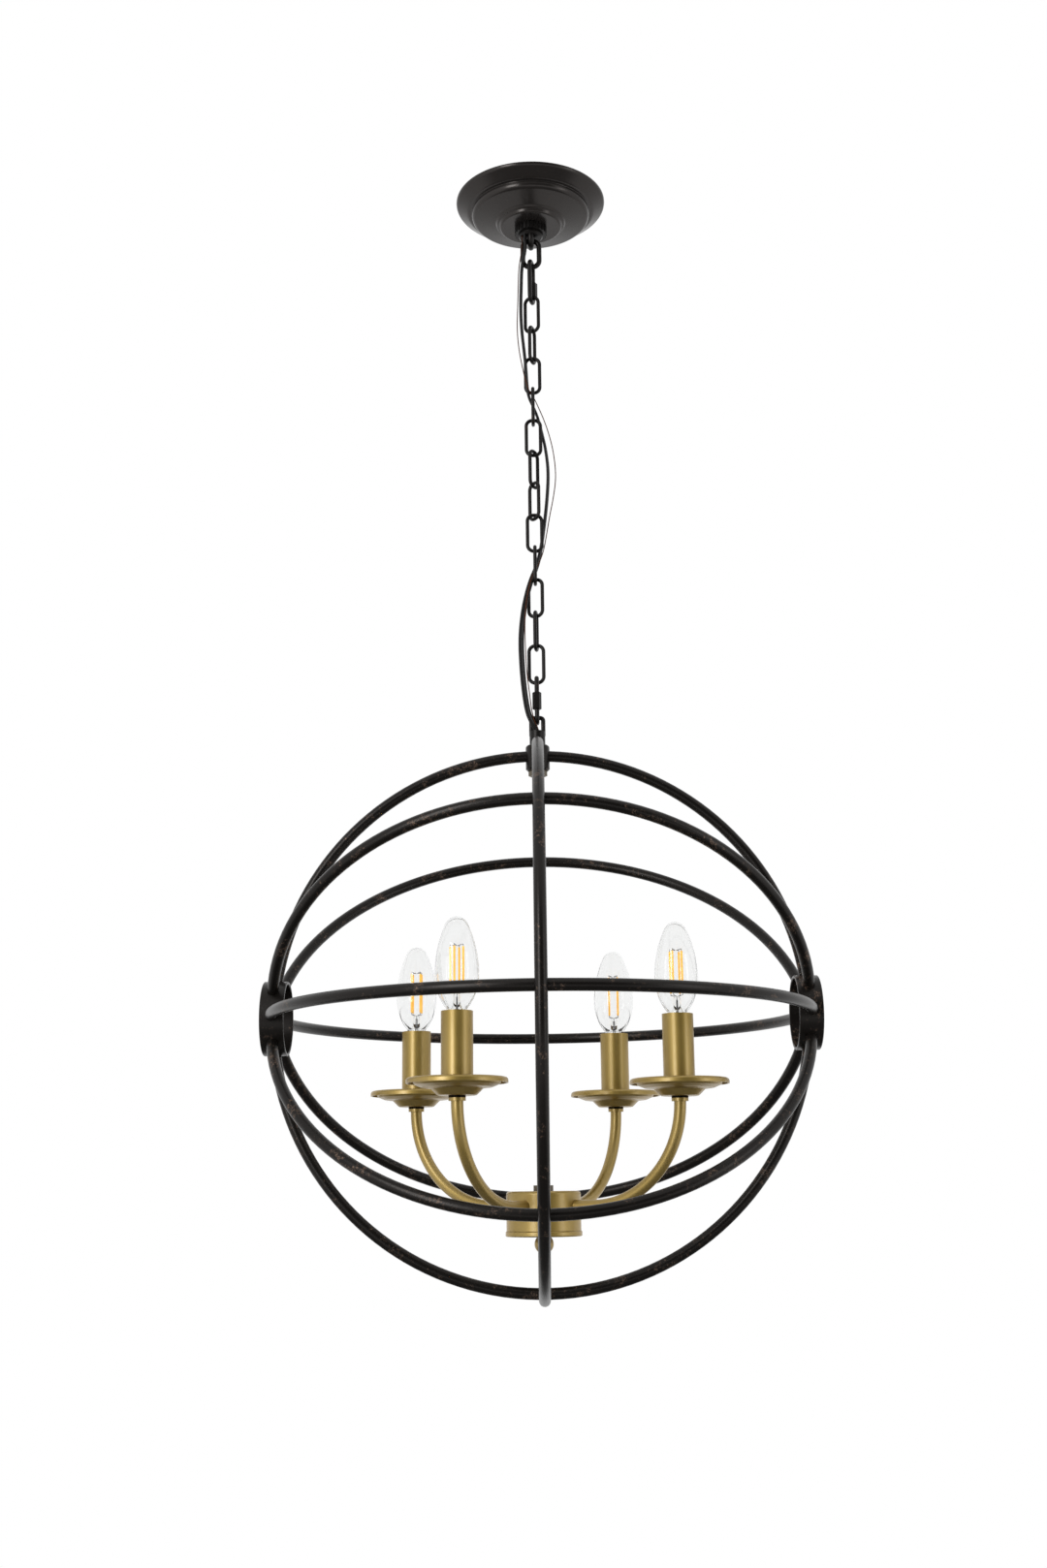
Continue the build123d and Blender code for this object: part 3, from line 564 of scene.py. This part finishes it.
def turned(name, profile, sides):
    """A turned solid: a disc drawn up through radii and heights."""
    bpy.ops.object.select_all(action="DESELECT")
    radius, height = profile[0]
    bpy.ops.mesh.primitive_circle_add(
        vertices=sides, radius=radius, location=(0, 0, height), fill_type="NGON"
    )
    piece = bpy.context.object
    piece.name = name
    bpy.ops.object.transform_apply(location=True)
    bpy.ops.object.mode_set(mode="EDIT")
    bpy.ops.mesh.select_all(action="SELECT")
    for next_radius, next_height in profile[1:]:
        rise = (0, 0, next_height - height)
        bpy.ops.mesh.extrude_region_move(TRANSFORM_OT_translate={"value": rise})
        ratio = next_radius / radius
        bpy.ops.transform.resize(value=(ratio, ratio, 1), center_override=(0, 0, next_height))
        radius, height = next_radius, next_height
    bpy.ops.mesh.select_all(action="SELECT")
    bpy.ops.mesh.normals_make_consistent(inside=False)
    bpy.ops.object.mode_set(mode="OBJECT")
    bpy.ops.object.shade_smooth_by_angle(angle=radians(smooth_angle))
    return piece


def put(piece, turn, place):
    """Turn and move a finished mesh, and leave its object at the origin."""
    piece.data.transform(Matrix.Translation(place) @ Matrix.Rotation(turn, 4, "Z"))


def stick_places():
    """Where the filament sticks stand, round the bulb's axis."""
    turns = [2 * pi * number / sticks for number in range(sticks)]
    return [Vector((stick_circle * cos(turn), stick_circle * sin(turn), 0)) for turn in turns]


def joined(name, pieces):
    """Several pieces made into one."""
    bpy.ops.object.select_all(action="DESELECT")
    for piece in pieces:
        piece.select_set(True)
    bpy.context.view_layer.objects.active = pieces[0]
    bpy.ops.object.join()
    pieces[0].name = name
    return pieces[0]


def lead(start, end):
    """A straight piece of thin wire between two places."""
    run = end - start
    radius = lead_dia / 2
    profile = [(radius, 0), (radius, run.length / 2), (radius, run.length)]
    piece = turned("lead", profile, lead_sides)
    tilt = run.to_track_quat("Z", "Y").to_matrix().to_4x4()
    piece.data.transform(Matrix.Translation(start) @ tilt)
    return piece


def in_metres(profile):
    """A profile that is written in millimetres from the bulb's seat, in metres."""
    return [(radius * mm, height * mm) for radius, height in profile]


def screw_cap():
    """The bulb's cap: contact, insulator, rolled thread and skirt."""
    profile = [(2.6, -21.3), (3.2, -20.9), (3.4, -20.2), (4.6, -19.6), (6.2, -19.2)]
    for ridge in range(cap_ridges):
        low = -18.8 + 1.5 * ridge
        profile += [(6.45, low), (6.95, low + 0.4), (6.95, low + 0.75), (6.45, low + 1.15)]
    profile += [(6.6, -12.6), (7.0, -4.0), (7.9, -0.6), (7.9, 0.0), (6.6, 0.5)]
    return turned("bulb_cap", in_metres(profile), cap_sides)


def glass_foot():
    """The flared glass foot with its pinched top."""
    profile = [(6.0, 0.6), (5.4, 2.6), (4.2, 5.2), (3.0, 8.6)]
    profile += [(2.5, 12.0), (2.9, 14.2), (2.4, 16.0), (1.2, 16.8)]
    return turned("bulb_foot", in_metres(profile), foot_sides)


def filament_sticks():
    """Four upright sticks with softened ends."""
    made = []
    radius = stick_dia / 2
    profile = [
        (stick_taper * radius, stick_foot),
        (radius, stick_foot + stick_end),
        (radius, stick_foot + stick_length / 2),
        (radius, stick_foot + stick_length - stick_end),
        (stick_taper * radius, stick_foot + stick_length),
    ]
    for place in stick_places():
        stick = turned("stick", profile, stick_sides)
        put(stick, 0, place)
        made.append(stick)
    return joined("bulb_filaments", made)


def lead_wires():
    """Wires that carry the sticks: a tail and a spider arm at each end, a post and two risers."""
    made = []
    top = Vector((0, 0, stick_foot + stick_length + lead_tail))
    low = Vector((0, 0, stick_foot - lead_tail))
    overlap = Vector((0, 0, lead_overlap))
    dip = Vector((0, 0, spider_dip))
    for place in stick_places():
        head = place + Vector((0, 0, stick_foot + stick_length))
        foot = place + Vector((0, 0, stick_foot))
        made.append(lead(head - overlap, place + top))
        made.append(lead(foot + overlap, place + low))
        made.append(lead(place + top, spider_inner * place + top - dip))
        made.append(lead(place + low, spider_inner * place + low - dip))
    made.append(lead(post_foot, low - overlap))
    for side in (Vector((1, 1, 1)), Vector((-1, 1, 1))):
        made.append(lead(side * riser_foot, side * riser_head))
    return joined("bulb_leads", made)


core = [
    (screw_cap(), cap_brass, "bulb_brass"),
    (glass_foot(), foot_glass, "clear_glass"),
    (filament_sticks(), amber_with_painted_glow, "bulb_brass"),
    (lead_wires(), wire, "bulb_brass"),
]
bulb_turns = [72, 57, 43, 40]
for number, turn in enumerate(bulb_turns, start=1):
    low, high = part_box(f"bulb_glass_{number}")
    seat = Vector(((low.x + high.x) / 2, (low.y + high.y) / 2, low.z))
    for pattern, finish, slot in core:
        piece = pattern.copy()
        piece.data = pattern.data.copy()
        piece.name = f"{pattern.name}_{number}"
        bpy.context.collection.objects.link(piece)
        put(piece, radians(turn), seat)
        piece.data.materials.clear()
        piece.data.materials.append(finish)
        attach(piece, f"bulb_{number}")
        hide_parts(f"bulb_base_{number}")
for pattern, _, _ in core:
    bpy.data.objects.remove(pattern)


# Stage: pale floor, white surround, soft lamps and the photograph's camera

floor_drop = 0.62
under_card_drop = 0.6
shadow_inner = 0.5
shadow_outer = 1.6
white_near = 0.65
daylight = 0.55
camera_place = Vector((-1.84, -1463.6, -902.8)) * mm
camera_pan = 0.419
camera_tilt = 13.24
camera_roll = -0.651
camera_lens = 39.96
camera_sensor = 36

level = (0, 0, 0)
upright = (radians(90), 0, 0)
lowest = cad_box[0].z
ring_low, ring_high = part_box("outer_ring")
cage_middle = (ring_low + ring_high) / 2


def stage_paper(name, shade):
    """Matt paper of one grey, faintly mottled."""
    paper = Finish(name, Roughness=0.9)
    mottle = paper.noise(scale=3, detail=2)
    dim = 0.97 * shade
    tint = paper.blend(mottle, colour(shade, shade, shade), colour(dim, dim, dim))
    paper.paint(Base_Color=tint)
    return paper


def stage_plane(name, size, place, turn, paper):
    """A square of paper on the stage."""
    bpy.ops.object.select_all(action="DESELECT")
    bpy.ops.mesh.primitive_plane_add(size=size, location=place, rotation=turn)
    plane = bpy.context.object
    plane.name = name
    plane.data.materials.append(paper.material)
    return plane


def whiten(paper):
    """Show paper as white to surround rays, less so near the middle, where the shadow falls."""
    length = {"operation": "LENGTH"}
    away = paper.node("ShaderNodeVectorMath", length, {0: paper.place()}, output="Value")
    beyond = paper.mask(away, low=shadow_inner, high=shadow_outer)
    share = paper.surround_rays() * (white_near + (1 - white_near) * beyond)
    white = paper.node("ShaderNodeEmission")
    layers = {0: share, 1: Value(paper, paper.shader.outputs[0]), 2: white}
    seen = paper.node("ShaderNodeMixShader", inputs=layers)
    paper.feed(paper.tree.nodes["Material Output"].inputs["Surface"], seen)


floor_paper = stage_paper("floor", shade=0.9)
whiten(floor_paper)
floor_place = (0, 0, lowest - floor_drop)
stage_plane("floor", size=14, place=floor_place, turn=level, paper=floor_paper)

# Dark cards that only shines see, so that the metal has dark bands as in the photograph
front_paper = stage_paper("front_card", shade=0.02)
front_place = (0.9, -3.2, -0.5)
under_paper = stage_paper("under_card", shade=0.22)
under_place = (0, -0.3, lowest - under_card_drop)
cards = [
    stage_plane("front_card", size=4.4, place=front_place, turn=upright, paper=front_paper),
    stage_plane("under_card", size=2.2, place=under_place, turn=level, paper=under_paper),
]
for card in cards:
    card.visible_camera = False
    card.visible_transmission = False
    card.visible_diffuse = False
    card.visible_shadow = False

world = bpy.data.worlds.new("studio")
bpy.context.scene.world = world
world.use_nodes = True
air = Shading(world.node_tree)
sky = air.tree.nodes["Background"].inputs
air.feed(sky["Color"], colour(1, 1, 1))
air.feed(sky["Strength"], daylight + (1 - daylight) * air.surround_rays())


def soft_lamp(name, place, size, power):
    """An area lamp that faces the middle of the cage."""
    lamp = bpy.data.lights.new(name, "AREA")
    lamp.shape = "RECTANGLE"
    lamp.size, lamp.size_y = size
    lamp.energy = power
    holder = bpy.data.objects.new(name, lamp)
    bpy.context.collection.objects.link(holder)
    holder.location = place
    aim = cage_middle - Vector(place)
    holder.rotation_euler = aim.to_track_quat("-Z", "Y").to_euler()
    holder.visible_camera = False


soft_lamp("key", place=(-1.25, -2.0, -0.2), size=(0.7, 1.8), power=30)
soft_lamp("fill", place=(2.0, -1.2, -0.5), size=(0.5, 1.6), power=6)

eye = bpy.data.cameras.new("camera")
eye.lens = camera_lens
eye.sensor_width = camera_sensor
viewer = bpy.data.objects.new("camera", eye)
bpy.context.collection.objects.link(viewer)
viewer.matrix_world = (
    Matrix.Translation(camera_place)
    @ Matrix.Rotation(radians(camera_pan), 4, "Z")
    @ Matrix.Rotation(radians(90 + camera_tilt), 4, "X")
    @ Matrix.Rotation(radians(camera_roll), 4, "Z")
)
bpy.context.scene.camera = viewer
bpy.context.scene.view_settings.view_transform = "Standard"
